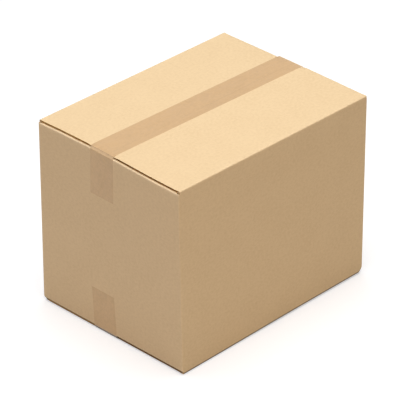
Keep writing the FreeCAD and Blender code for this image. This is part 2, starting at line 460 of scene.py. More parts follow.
def place_object(name: str, data: bpy.types.ID) -> bpy.types.Object:
    """Make an object of a mesh, a lamp or a camera, and put it in the scene."""
    made = bpy.data.objects.new(name, data)
    bpy.context.scene.collection.objects.link(made)
    return made


@dataclass
class Columns:
    """The blank's columns: positions round the wall, seen from above.

    Attributes:
        outer: Plan positions on the outer face (n, 2).
        inner: Plan positions on the inner face (n, 2).
        outward: The panel's outward direction (n, 2).
        along: Place along the flat blank (n,).
        flap: Which flap each column carries, by its number (n,).
        reach: Height of the column as a share of the wall's, which the glue tab's bevel lowers (n,).
        pinch: How far an outer flap's cut end has been nipped by the knife there, from 0 to 1 (n,).
    """

    outer: np.ndarray
    inner: np.ndarray
    outward: np.ndarray
    along: np.ndarray
    flap: np.ndarray
    reach: np.ndarray
    pinch: np.ndarray


@dataclass
class Rows:
    """The blank's rows: how far in and how high each one lies, for one kind of column.

    Attributes:
        outer_in: Outer face's distance in from the panel's plane (n,).
        outer_up: Outer face's height about mid-height (n,).
        inner_in: The same for the inner face (n,).
        inner_up: The same for the inner face (n,).
    """

    outer_in: np.ndarray
    outer_up: np.ndarray
    inner_in: np.ndarray
    inner_up: np.ndarray


@dataclass
class Carton:
    """The folded blank, in one piece from the wall's free edge to the flaps' tips.

    Attributes:
        step: Longest cell on the flat panels.
        fine_step: Longest cell near the flaps' tips, where the tape bends them.
        fine_from: Where on a flap the fine cells begin, from the panel that it folds from.
        arc_parts: Cells round each fold.
        corner_run: Length over which the inner face's columns and rows spread from a fold.
        nips: Further columns on an outer flap, in from its cut end.
        pinch_run: Length over which a flap's cut end has been nipped.
        pinch_from: Where on a flap the nip is full, from the panel that it folds from.
        pinch_depth: How far its outer and inner faces have been nipped there.
        pressed_share: How far each of the board's four faces follows the press under the tape.
        turn_shares: Where an inner flap's inner face turns, as shares of the run to its first row.
        name: The piece's name.
    """

    step: float = 9.0
    fine_step: float = 4.0
    fine_from: float = 104.0
    arc_parts: int = 6
    corner_run: float = 6.0
    nips: tuple[float, ...] = (6.5, 10.0, 14.0)
    pinch_run: float = 6.5
    pinch_from: float = 6.0
    pinch_depth: Span = (0.6, 0.5)
    pressed_share: tuple[float, ...] = (1.0, 1.0, 0.1, 0.1)
    turn_shares: Span = (0.1, 0.9)
    name: str = "carton_board"

    def columns(self) -> Columns:
        """Work out the columns, going clockwise from the joint's free edge to the tab's.

        A panel is a straight run. A fold is a quarter circle about a centre that lies one radius in
        from both panels, outside and inside each having its own.

        Returns:
            The columns.
        """
        s = SIZES
        tab_fold = s.half_width - s.fold_inside
        tab_edge = s.half_width - s.tab_width
        parts = []
        travelled = 0.0
        panels = self.panels(tab_fold, tab_edge)
        for number, (face, quarter, stops, flap, folds) in enumerate(panels):
            turn = -0.5 * np.pi * quarter
            outward = np.round([np.cos(turn), np.sin(turn)], 12)
            onward = np.array([outward[1], -outward[0]])
            place = spaced(stops, self.step)
            run = np.abs(place - stops[0])
            level = np.stack([np.full_like(place, face), place] if quarter % 2 == 0
                             else [place, np.full_like(place, face)], axis=-1)
            slip = np.zeros_like(run)
            for at_end, has_fold in enumerate(folds):
                if has_fold:
                    away = run[-1] - run if at_end else run
                    gap = s.fold_inside - s.corner_radius
                    slip += (-1 if at_end else 1) * gap * np.clip(1 - away / self.corner_run, 0, 1)
            inner = level - outward * s.board + onward * slip[:, None]
            first, last = self.flap_span(stops, flap)
            carried = (run >= first - TINY) & (run <= last + TINY)
            reach = np.ones_like(run)
            if flap is Flap.NONE:
                half = s.inner_fold_foot - s.tab_end_gap - s.tab_bevel * np.clip(
                    (tab_fold - place) / (tab_fold - tab_edge), 0, 1)
                reach = np.where(place > tab_fold, 1.0, half / s.slot_floor)
            kinds = np.where(carried, flap.value, Flap.NONE.value)
            pinch = np.zeros_like(run)
            if flap is Flap.OUTER:
                from_end = np.minimum(run - first, last - run)
                pinch = np.clip(1 - from_end / self.pinch_run, 0, 1) ** 2 * carried
            parts.append((level, inner, np.broadcast_to(outward, level.shape), travelled + run,
                          kinds, reach, pinch))
            travelled += run[-1]
            if number < len(panels) - 1:
                parts.append(self.fold(level[-1], outward, onward, travelled))
                travelled += 0.5 * np.pi * s.corner_radius
        return Columns(*(np.concatenate(each) for each in zip(*parts)))

    def panels(self, tab_fold: float, tab_edge: float) -> list[tuple]:
        """List the wall's panels, clockwise from the joint's free edge.

        Args:
            tab_fold: Where across the box the inside of the glue tab's fold begins.
            tab_edge: Where across the box the glue tab ends.

        Returns:
            For each panel: where its outer face lies, how many quarter turns it faces from +X, its
            kept positions, the flap that it carries, and whether a fold starts and ends it.
        """
        s = SIZES
        edge_x, edge_y = s.half_length - s.corner_radius, s.half_width - s.corner_radius
        tab_x = s.half_length - s.joint_step
        near, far, side = s.near_end, s.far_end, s.inner_flap_side
        rear_end = far - s.joint_step
        free_edge = s.half_width - s.joint_edge_inset
        front_stops = [edge_x, far, far - s.flute_depth, *(far - nip for nip in self.nips),
                       *(nip - near for nip in self.nips[::-1]), s.flute_depth - near, -near, -edge_x]
        rear_stops = [-edge_x, -near, s.shallow_flute - near, *(nip - near for nip in self.nips),
                      *(rear_end - nip for nip in self.nips[::-1]), rear_end - s.flute_depth, rear_end,
                      tab_x - s.corner_radius]
        return [
            (s.half_length, 0, [free_edge, side, -side, -edge_y], Flap.INNER, (False, True)),
            (-s.half_width, 1, front_stops, Flap.OUTER, (True, True)),
            (-s.half_length, 2, [-edge_y, -side, side, edge_y], Flap.INNER, (True, True)),
            (s.half_width, 3, rear_stops, Flap.OUTER, (True, True)),
            (tab_x, 4, [edge_y, tab_fold - s.inner_radius, tab_edge], Flap.NONE, (True, False)),
        ]

    @staticmethod
    def flap_span(stops: list[float], flap: Flap) -> Span:
        """Where along its run a panel carries its flap.

        Args:
            stops: The panel's kept positions.
            flap: The kind of flap.

        Returns:
            First and last distance from the run's start; none of the run where there is no flap.
        """
        if flap is Flap.NONE:
            return math.inf, -math.inf
        return abs(stops[1] - stops[0]), abs(stops[-2] - stops[0])

    def fold(self, corner: np.ndarray, outward: np.ndarray, onward: np.ndarray,
             travelled: float) -> tuple:
        """Work out the columns round one upright fold, without its first and last.

        Args:
            corner: Plan position where the fold's outside begins.
            outward: The outward direction before the fold.
            onward: The direction of travel before the fold, which is outward after it.
            travelled: Place along the flat blank where the fold begins.

        Returns:
            The same arrays as a panel's.
        """
        s = SIZES
        share = np.linspace(0, 1, self.arc_parts + 1)[1:-1]
        angle = (0.5 * np.pi * share)[:, None]
        radial = outward * np.cos(angle) + onward * np.sin(angle)
        center = corner - outward * s.corner_radius
        gap = s.fold_inside - s.corner_radius
        inner_center = center - (outward + onward) * gap
        count = len(share)
        return (
            center + radial * s.corner_radius,
            inner_center + radial * s.inner_radius,
            radial,
            travelled + 0.5 * np.pi * s.corner_radius * share,
            np.full(count, Flap.NONE.value),
            np.ones(count),
            np.zeros(count),
        )

    def rows(self) -> tuple[dict[Flap, Rows], np.ndarray, np.ndarray, int]:
        """Work out the rows for each kind of column, from the bottom flaps' tips to the top ones'.

        A flap's fold is a quarter circle: distance in is the radius times (1 - cos a), and height is
        the fold's foot plus the radius times sin a. The flap then runs in level. An inner flap's
        fold begins below the slots' floor, so that part of its circle lies in the wall's rows.

        Returns:
            The rows of each kind, the place up the flat blank, the distance in on the flaps, and how
            many of the top half's rows belong to the wall.
        """
        s = SIZES
        inner_arc_start = s.inner_flap_top - s.fold_radius
        last_angle = math.asin((s.slot_floor - inner_arc_start) / s.fold_radius)
        early = last_angle * np.linspace(0, 1, self.arc_parts)
        straight = spaced([0.0, s.inner_fold_foot - self.corner_run, s.inner_fold_foot], self.step)
        wall = np.concatenate([straight, inner_arc_start + s.fold_radius * np.sin(early)])
        angles = np.linspace(0, 0.5 * np.pi, self.arc_parts + 1)
        flat_in = np.concatenate([
            spaced([s.fold_radius, s.crease_width, self.fine_from], self.step)[1:],
            spaced([self.fine_from, s.flap_reach], self.fine_step)[1:]])
        spread = np.clip(1 - (flat_in - s.fold_radius) / self.corner_run, 0, 1)
        outer = [
            np.concatenate([np.zeros_like(wall), s.fold_radius * (1 - np.cos(angles)), flat_in]),
            np.concatenate([wall, s.half_height - s.fold_radius * (1 - np.sin(angles)),
                            np.full_like(flat_in, s.half_height)]),
            np.concatenate([np.full_like(wall, s.board), s.fold_inside - s.inner_radius * np.cos(angles),
                            flat_in + (s.fold_inside - s.fold_radius) * spread]),
            np.concatenate([wall, s.half_height - s.fold_inside + s.inner_radius * np.sin(angles),
                            np.full_like(flat_in, s.half_height - s.board)]),
        ]
        left_over = np.linspace(0, 1, self.arc_parts + 2)[1:]
        late = last_angle + (0.5 * np.pi - last_angle) * left_over
        turned = 0.5 * np.pi * np.linspace(0, 1, self.arc_parts)
        inner = [row.copy() for row in outer]
        lower, upper = slice(len(straight), len(wall)), slice(len(wall), len(wall) + len(angles))
        inner[0][lower] = s.fold_radius * (1 - np.cos(early))
        inner[2][lower] = s.fold_inside - s.inner_radius * np.cos(turned)
        inner[3][lower] = s.inner_fold_foot + s.inner_radius * np.sin(turned)
        inner[0][upper] = s.fold_radius * (1 - np.cos(late))
        inner[1][upper] = inner_arc_start + s.fold_radius * np.sin(late)
        inner[1][upper.stop:] = s.inner_flap_top
        between = np.linspace(*self.turn_shares, len(angles))
        inner[2][upper] = s.fold_inside + between * (inner[2][upper.stop] - s.fold_inside)
        inner[3][upper.start:] = s.inner_flap_top - s.board
        travelled = np.concatenate([[0], np.cumsum(np.hypot(np.diff(outer[0]), np.diff(outer[1])))])
        place = np.concatenate([-travelled[:0:-1], travelled])
        inward = np.concatenate([outer[0][:0:-1], outer[0]])
        outer_rows = self.mirrored(outer)
        kinds = {Flap.OUTER: outer_rows, Flap.INNER: self.mirrored(inner), Flap.NONE: outer_rows}
        return kinds, place, inward, len(wall)

    @staticmethod
    def mirrored(rows: list[np.ndarray]) -> Rows:
        """Mirror the top half's rows to make the bottom half's."""
        signs = (1, -1, 1, -1)
        return Rows(*(np.concatenate([sign * row[:0:-1], row]) for sign, row in zip(signs, rows)))

    def lattice(self) -> Lattice:
        """Fold the blank: place every column and row on its panel or flap, and mark where board is.

        Returns:
            The folded lattice.
        """
        s = SIZES
        columns = self.columns()
        kinds, place, inward, wall_rows = self.rows()
        count, middle = len(place), len(place) // 2
        of_flap = np.abs(np.arange(count) - middle) >= wall_rows
        shares = np.array([0.0, s.liner / s.board, 1.0 - s.liner / s.board, 1.0])
        outer = np.zeros((len(columns.along), count, 3))
        inner = np.zeros_like(outer)
        for kind, rows in kinds.items():
            mine = columns.flap == kind.value
            away = columns.outward[mine][:, None, :]
            outer[mine, :, :2] = columns.outer[mine][:, None, :] - away * rows.outer_in[None, :, None]
            outer[mine, :, 2] = rows.outer_up * columns.reach[mine][:, None]
            base = np.where(of_flap[None, :, None], columns.outer[mine][:, None, :] - away * s.board,
                            columns.inner[mine][:, None, :])
            inner[mine, :, :2] = base - away * (rows.inner_in - s.board)[None, :, None]
            inner[mine, :, 2] = rows.inner_up * columns.reach[mine][:, None]
        side = np.sign(np.arange(count) - middle)
        on_flap = smooth_step(inward, s.fold_radius, self.pinch_from) * of_flap * side
        nipped = columns.pinch[:, None] * on_flap[None, :]
        outer[..., 2] -= self.pinch_depth[0] * nipped
        inner[..., 2] += self.pinch_depth[1] * nipped
        points = outer[:, :, None, :] * (1 - shares)[:, None] + inner[:, :, None, :] * shares[:, None]
        on_top = (of_flap & (side > 0))[None, :] & (columns.flap == Flap.OUTER.value)[:, None]
        flattened = TOP_SEAM.pressed(points[..., 0], points[..., 1]) * on_top[:, :, None]
        points[..., 2] -= flattened * np.array(self.pressed_share)

        carries = (columns.flap[:-1] == columns.flap[1:]) & (columns.flap[1:] != Flap.NONE.value)
        of_wall = ~(of_flap[:-1] | of_flap[1:])
        sheet = of_wall[None, :] | carries[:, None]
        filled = np.repeat(sheet[:, :, None], 3, axis=2)
        filled[:, :, 1] &= ~self.hollow(columns, inward, carries, of_wall)
        flat = np.stack(np.broadcast_arrays(columns.along[:, None, None], place[None, :, None],
                                            (shares * s.board)[None, None, :]), axis=-1)
        return Lattice(points, filled, flat)

    @staticmethod
    def hollow(columns: Columns, inward: np.ndarray, carries: np.ndarray,
               of_wall: np.ndarray) -> np.ndarray:
        """Find the cells where an edge cut along the flutes shows one open.

        Args:
            columns: The blank's columns.
            inward: Each row's distance in on the flaps.
            carries: Which columns of cells carry a flap.
            of_wall: Which rows of cells are wall.

        Returns:
            A mask over columns and rows of cells.
        """
        outer = columns.flap == Flap.OUTER.value
        flap_cells = carries & outer[:-1]
        first = flap_cells & ~np.concatenate([[False], flap_cells[:-1]])
        last = flap_cells & ~np.concatenate([flap_cells[1:], [False]])
        beyond = np.minimum(inward[:-1], inward[1:]) >= SIZES.crease_width - TINY
        open_flaps = (first | last)[:, None] & beyond[None, :]
        joint_edge = np.arange(len(carries)) == 0
        return open_flaps | (joint_edge[:, None] & of_wall[None, :])

    def build(self) -> bpy.types.Object:
        """Make the carton's mesh and mark which material each face takes.

        Faces that look through the sheet are liner outside and hollow inside. The rest are the
        board's edges: liner paper, an open flute, or the wave where a cut crosses the flutes. At the
        box's corners the crushed creases and the slots' floors show paper alone.

        Returns:
            The carton's object.
        """
        s, hair = SIZES, 0.01
        lattice = self.lattice()
        faces, axes, layers, places = lattice.shell()
        points = lattice.points.reshape(-1, 3)
        made = make_mesh(self.name, SETTLING.moved(points), faces, places,
                         {"wear_and_highlight": self.wear_and_highlight(points), "above_fold": self.above_fold(points)})
        reach = np.abs(points[faces])
        in_crease = reach[:, :, 1].max(axis=1) > s.half_width - s.crease_width + hair
        at_corner = reach[:, :, 0].min(axis=1) > s.near_end - s.flute_depth - hair
        above_slots = reach[:, :, 2].min(axis=1) > s.slot_floor - s.corner_radius / 2
        closed = np.isin(layers, (0, 2)) | (in_crease & at_corner & above_slots)
        paper = np.where(closed, BoardFace.PAPER_EDGE.value, BoardFace.HOLLOW.value)
        paper = np.where((axes == 1) & (layers == 1) & ~closed, BoardFace.WAVE.value, paper)
        liner = np.where(np.isin(layers, (0, 3)), BoardFace.LINER.value, BoardFace.HOLLOW.value)
        kinds = np.where(axes == 2, liner, paper)
        made.data.polygons.foreach_set("material_index", kinds.astype(np.int32))
        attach(made, "root")
        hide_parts("carton")
        return made

    @staticmethod
    def above_fold(points: np.ndarray) -> np.ndarray:
        """Give the height of each point above its own panel's bottom fold, in millimetres.

        An end panel's fold lies higher than a side panel's, by nearly the board's thickness. On the
        bottom flaps a multiple of the distance in from the nearest wall's face takes over, so that
        the painted contact shade stays at the walls' feet.

        Args:
            points: Positions in millimetres about mid-height, before settling (n, 3).

        Returns:
            A height for each point.
        """
        s, fold_rise, inward_gain = SIZES, 3.4, 1.6
        x, y = np.abs(points[:, 0]), np.abs(points[:, 1])
        end_panel = smooth_step(x, s.half_length - s.fold_radius, s.half_length - s.seam_gap / 2)
        inside = np.minimum(s.half_length - x, s.half_width - y)
        return np.maximum(points[:, 2] + s.half_height - fold_rise * end_panel, inward_gain * inside)

    @staticmethod
    def wear_and_highlight(points: np.ndarray) -> np.ndarray:
        """Say how rubbed the liner is at each point, and how much painted highlight its folds take.

        It falls off from each fold's sharp line as a bell. The end panels' top and bottom folds,
        which the flaps' cut ends leave bare, take the most wear and painted highlight, the upright folds
        the least.

        Args:
            points: Positions in millimetres about mid-height, before settling (n, 3).

        Returns:
            A share from 0 to 1 for each point.
        """
        s = SIZES
        x, y, z = (np.abs(points[:, k]) for k in range(3))
        long_folds = 0.4 * bell(np.hypot(y - s.half_width, z - s.half_height), 1.7)
        end_folds = bell(np.hypot(x - s.half_length, z - s.inner_flap_top), 2.3)
        upright_folds = 0.07 * bell(np.hypot(x - s.half_length, y - s.half_width), 1.5)
        return np.maximum(np.maximum(long_folds, end_folds), upright_folds)


@dataclass
class TapeStrip:
    """One strip of tape over a seam, with a tail down each end panel.

    Attributes:
        name: The piece's name.
        node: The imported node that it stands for.
        end: +1 over the top seam, -1 under the bottom one.
        seam: Where the strip runs and how hard it was pressed down.
        tails: How far the strip runs past the outer flaps' faces, at -X and at +X.
        lean: How far the strip strays towards +Y over the near tail's length.
        sag: How far the strip dips between a flap's edge and the fold below it.
        step: Longest cell along the strip.
        stops: Places kept along the strip, in from the flap's edge.
        lead: Length of tail below the fold that ends in a row of its own.
        arc_parts: Cells round the fold.
        slope_parts: Cells between the fold and the flap's edge.
        teeth: Depth of the torn ends' teeth.
        tooth_pitch: Their width.
    """

    name: str
    node: str
    end: int
    seam: TapedSeam
    tails: tuple[float, float]
    lean: float = 0.0
    sag: float = 0.2
    step: float = 8.0
    stops: tuple[float, ...] = (0.5, 1.5, 3.0, 6.5, 10.0, 14.0)
    lead: float = 12.0
    arc_parts: int = 6
    slope_parts: int = 8
    teeth: float = 0.5
    tooth_pitch: float = 2.0

    def line(self) -> tuple[np.ndarray, np.ndarray]:
        """Work out the strip's under face seen from the side.

        A tail rises along the end panel, follows the inner flap's fold, leans in the line that
        leaves the fold in a tangent and meets the outer flap's edge, and runs on along the flap, whose
        end is pressed down. The leaning part dips by the sag times a half sine wave squared.

        Returns:
            The line's points (n, 2) as length and height, and its outward directions (n, 2).
        """
        s = SIZES
        radius = s.fold_radius
        foot = s.inner_flap_top - radius
        step = s.half_height - self.seam.press - foot
        halves = []
        for tail, flap_end in zip(self.tails, (s.near_end, s.far_end)):
            inset = radius - (s.half_length - flap_end)
            lean = math.atan(inset / step) + math.acos(radius / math.hypot(inset, step))
            up = spaced([s.half_height - tail, foot - self.lead, foot], self.step)
            panel = np.stack([np.full_like(up, s.half_length), up], axis=-1)
            angle = np.linspace(0, 0.5 * np.pi - lean, self.arc_parts + 1)[1:]
            fold = np.stack([s.half_length - radius + radius * np.cos(angle),
                             foot + radius * np.sin(angle)], axis=-1)
            edge = np.array([flap_end, s.half_height - self.seam.press])
            share = np.linspace(0, 1, self.slope_parts + 1)[1:]
            slope = fold[-1] + (edge - fold[-1]) * share[:, None]
            normal = np.array([math.sin(lean), math.cos(lean)])
            slope -= normal * (self.sag * np.sin(np.pi * share) ** 2)[:, None]
            level_x = spaced([*(flap_end - stop for stop in self.stops), 0.0], self.step)
            depth = self.seam.press * self.seam.end_share(flap_end - level_x)
            level = np.stack([level_x, s.half_height - depth], axis=-1)
            halves.append(np.concatenate([panel, fold, slope, level]))
        near = halves[0] * (-1, 1)
        line = np.concatenate([near, halves[1][-2::-1]])
        tangent = np.gradient(line, axis=0)
        tangent /= np.linalg.norm(tangent, axis=1, keepdims=True)
        outward = np.stack([-tangent[:, 1], tangent[:, 0]], axis=-1)
        return line, outward

    def build(self) -> bpy.types.Object:
        """Carry the strip's width along its line and make the mesh.

        The two ends are torn off in teeth: a triangle wave across the width shortens each tail. The
        strip is shaped over the top seam and turned over for the bottom one.

        Returns:
            The strip's object.
        """
        line, outward = self.line()
        travelled = np.concatenate([[0], np.cumsum(np.linalg.norm(np.diff(line, axis=0), axis=1))])
        width = self.seam.width
        across = np.linspace(width / 2, -width / 2, int(width) + 1)
        faces_at = np.array([SIZES.tape_thickness, 0.0])
        flat_line = line[:, None, None, :] + outward[:, None, None, :] * faces_at[:, None]
        grid = np.broadcast_to(flat_line, (len(line), len(across), 2, 2)).copy()
        half_tooth = self.tooth_pitch / 2
        tooth = self.teeth * (1 - np.abs(np.mod(across, self.tooth_pitch) / half_tooth - 1))
        grid[[0, -1], :, :, 1] += tooth[:, None]
        middle = self.seam.middle(line[:, 0])
        down = np.clip((SIZES.half_height - np.abs(line[:, 1])) / self.tails[0], 0, 1)
        middle = middle + self.lean * down * (line[:, 0] < 0)
        y = np.broadcast_to((middle[:, None] + across[None, :])[:, :, None], grid.shape[:3])
        points = np.stack([grid[..., 0], y, grid[..., 1]], axis=-1)
        flat = np.stack(np.broadcast_arrays(travelled[:, None, None], across[None, :, None],
                                            faces_at[None, None, :]), axis=-1)
        if self.end < 0:
            points = points[:, ::-1] * (1, 1, -1)
            flat = flat[:, ::-1]
        lattice = Lattice(points, np.ones([n - 1 for n in points.shape[:3]], bool), flat)
        faces, _, _, places = lattice.shell()
        made = make_mesh(self.name, SETTLING.moved(points.reshape(-1, 3)), faces, places)
        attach(made, "root")
        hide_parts(self.node)
        return made


class NodeCanvas:
    """A short way to add and join nodes in a material or a group."""

    def __init__(self, tree: bpy.types.NodeTree) -> None:
        """Work on one node tree."""
        self.tree = tree

    def add(self, kind: str, inputs: dict | None = None,
            **settings: object) -> bpy.types.Node:
        """Add a node.

        Args:
            kind: The node's type name.
            inputs: Values or sockets for its inputs, by name or number.
            **settings: Properties of the node itself.

        Returns:
            The node.
        """
        node = self.tree.nodes.new(kind)
        for name, value in settings.items():
            setattr(node, name, value)
        for key, value in (inputs or {}).items():
            self.feed(node.inputs[key], value)
        return node

    def feed(self, socket: bpy.types.NodeSocket, value: object) -> None:
        """Join a socket to an input, or set the input's own value."""
        if isinstance(value, bpy.types.NodeSocket):
            self.tree.links.new(value, socket)
        elif socket.type == "RGBA" and len(value) == 3:
            socket.default_value = (*value, 1.0)
        else:
            socket.default_value = value

    def math(self, operation: str, first: object, second: object = 0.0, third: object = 0.0,
             clamp: bool = False) -> bpy.types.NodeSocket:
        """Add a Math node and return its result."""
        node = self.add("ShaderNodeMath", {0: first, 1: second, 2: third}, operation=operation,
                        use_clamp=clamp)
        return node.outputs[0]

    def mix(self, share: object, first: object, second: object) -> bpy.types.NodeSocket:
        """Mix two colours and return the result."""
        node = self.add("ShaderNodeMix", data_type="RGBA", blend_type="MIX")
        for key, value in ((0, share), (6, first), (7, second)):
            self.feed(node.inputs[key], value)
        return node.outputs[2]

    def noise(self, vector: bpy.types.NodeSocket, scale: float, detail: float = 2.0,
              roughness: float = 0.5) -> bpy.types.NodeSocket:
        """Add a noise texture and return its value."""
        node = self.add("ShaderNodeTexNoise", {"Vector": vector, "Scale": scale, "Detail": detail,
                                               "Roughness": roughness})
        return node.outputs[0]

    def between(self, value: object, low: float, high: float, to_low: float = 0.0,
                to_high: float = 1.0) -> bpy.types.NodeSocket:
        """Map a range to another, smoothly and held at its ends, and return the result."""
        node = self.add("ShaderNodeMapRange", {0: value, 1: low, 2: high, 3: to_low, 4: to_high},
                        interpolation_type="SMOOTHSTEP")
        return node.outputs[0]

    def outside(self, value: object, middle: float, low: float, high: float) -> bpy.types.NodeSocket:
        """Rise from 0 to 1 as a value gets between two distances away from a middle."""
        away = self.math("ABSOLUTE", self.math("SUBTRACT", value, middle))
        return self.between(away, low, high)

    def bump(self, height: object, strength: float, distance: float) -> bpy.types.NodeSocket:
        """Add a Bump node over a height and return its normal."""
        node = self.add("ShaderNodeBump", {"Height": height, "Strength": strength, "Distance": distance})
        return node.outputs[0]

    def shown_rays(self) -> bpy.types.NodeSocket:
        """Return 1 for a ray that shows the surface, also mirrored or refracted, and 0 for the rest."""
        path = self.add("ShaderNodeLightPath")
        return self.math("MAXIMUM", path.outputs["Is Camera Ray"], self.math(
            "MAXIMUM", path.outputs["Is Glossy Ray"], path.outputs["Is Transmission Ray"]))


def group_named(name: str, inputs: dict[str, str], outputs: dict[str, str]) -> tuple[
        bpy.types.NodeTree, NodeCanvas, dict[str, bpy.types.NodeSocket], bpy.types.Node]:
    """Start a shader node group with named sockets.

    Args:
        name: The group's name.
        inputs: Socket type by input name.
        outputs: Socket type by output name.

    Returns:
        The group, its canvas, its input sockets by name and its output node.
    """
    tree = bpy.data.node_groups.new(name, "ShaderNodeTree")
    for direction, sockets in (("INPUT", inputs), ("OUTPUT", outputs)):
        for label, kind in sockets.items():
            tree.interface.new_socket(label, in_out=direction, socket_type=kind)
    canvas = NodeCanvas(tree)
    entry = canvas.add("NodeGroupInput")
    leave = canvas.add("NodeGroupOutput")
    return tree, canvas, {label: entry.outputs[label] for label in inputs}, leave


FLOAT, VECTOR = "NodeSocketFloat", "NodeSocketVector"


@dataclass(frozen=True)
class PaperPattern:
    """Recycled brown paper: clouds, fibres, grain and specks.

    Attributes:
        clouds: Scale of the clouds' noise, per metre.
        fibres: Scale of the fibres' noise across their run.
        fibre_run: Their scale along their run, as a share of that.
        grain: Scale of the finer blotches' noise.
        specks: Scale of the specks' noise.
        speck_span: Values of that noise between which a speck comes up.
        fibre_height: The fibres' relief, as a share of the grain's.
    """

    clouds: float = 22.0
    fibres: float = 520.0
    fibre_run: float = 0.35
    grain: float = 210.0
    specks: float = 900.0
    speck_span: Span = (0.63, 0.78)
    fibre_height: float = 0.6

    def group(self) -> bpy.types.NodeTree:
        """Make the shader node group.

        Returns:
            A group from a place on the sheet, in metres, to a tone about 1 and a height.
        """
        tree, canvas, given, leave = group_named(
            "brown_paper", {"Place": VECTOR, "Clouds": FLOAT, "Fibres": FLOAT, "Specks": FLOAT},
            {"Tone": FLOAT, "Height": FLOAT})
        place, even = given["Place"], 0.5
        cloud = canvas.noise(place, self.clouds, 3.0, 0.55)
        drawn = canvas.add("ShaderNodeMapping", {"Vector": place, "Scale": (self.fibre_run, 1.0, 1.0)})
        fibre = canvas.noise(drawn.outputs[0], self.fibres, 3.0, 0.6)
        grain = canvas.noise(place, self.grain, 2.0, 0.5)
        speck = canvas.between(canvas.noise(place, self.specks, 1.0), *self.speck_span)
        clouded = canvas.math("SUBTRACT", cloud, even)
        tone = canvas.math("MULTIPLY_ADD", clouded, given["Clouds"], 1.0)
        mixed = canvas.math("ADD", canvas.math("SUBTRACT", fibre, even),
                            canvas.math("SUBTRACT", grain, even))
        tone = canvas.math("MULTIPLY_ADD", mixed, given["Fibres"], tone)
        darker = canvas.math("MULTIPLY", speck, -1.0)
        tone = canvas.math("MULTIPLY_ADD", darker, given["Specks"], tone)
        canvas.feed(leave.inputs["Tone"], tone)
        canvas.feed(leave.inputs["Height"], canvas.math("MULTIPLY_ADD", fibre, self.fibre_height, grain))
        return tree


def flute_group() -> bpy.types.NodeTree:
    """Make the group for the faint ribs that the flutes raise through a liner.

    Returns:
        A group from a place on the sheet, in metres, to a rib height from 0 to 1.
    """
    tree, canvas, given, leave = group_named(
        "flute_ribs", {"Place": VECTOR, "Pitch": FLOAT}, {"Rib": FLOAT})
    parts = canvas.add("ShaderNodeSeparateXYZ", {"Vector": given["Place"]})
    turns = canvas.math("DIVIDE", parts.outputs[0], given["Pitch"])
    wave = canvas.math("COSINE", canvas.math("MULTIPLY", turns, 2 * math.pi))
    canvas.feed(leave.inputs["Rib"], canvas.math("MULTIPLY_ADD", wave, 0.5, 0.5))
    return tree


@dataclass(frozen=True)
class Effects:
    """The node groups that the finishes use.

    Attributes:
        paper: Recycled brown paper.
        ribs: The flutes' ribs.
    """

    paper: bpy.types.NodeTree
    ribs: bpy.types.NodeTree

    def paper_node(self, canvas: NodeCanvas, place: bpy.types.NodeSocket,
                   strengths: tuple[float, float, float]) -> bpy.types.Node:
        """Add the paper group to a material.

        Args:
            canvas: The material's canvas.
            place: Where on the sheet or the box a point lies.
            strengths: How strong the clouds, the fibres and the specks are.

        Returns:
            The group's node.
        """
        inputs = dict(zip(("Place", "Clouds", "Fibres", "Specks"), (place, *strengths)))
        return canvas.add("ShaderNodeGroup", inputs, node_tree=self.paper)


def new_material(name: str) -> tuple[bpy.types.Material, NodeCanvas, bpy.types.Node]:
    """Start a node material.

    Args:
        name: The material's name.

    Returns:
        The material, its canvas and its Principled shader.
    """
    material = bpy.data.materials.new(name)
    material.use_nodes = True
    canvas = NodeCanvas(material.node_tree)
    return material, canvas, material.node_tree.nodes["Principled BSDF"]


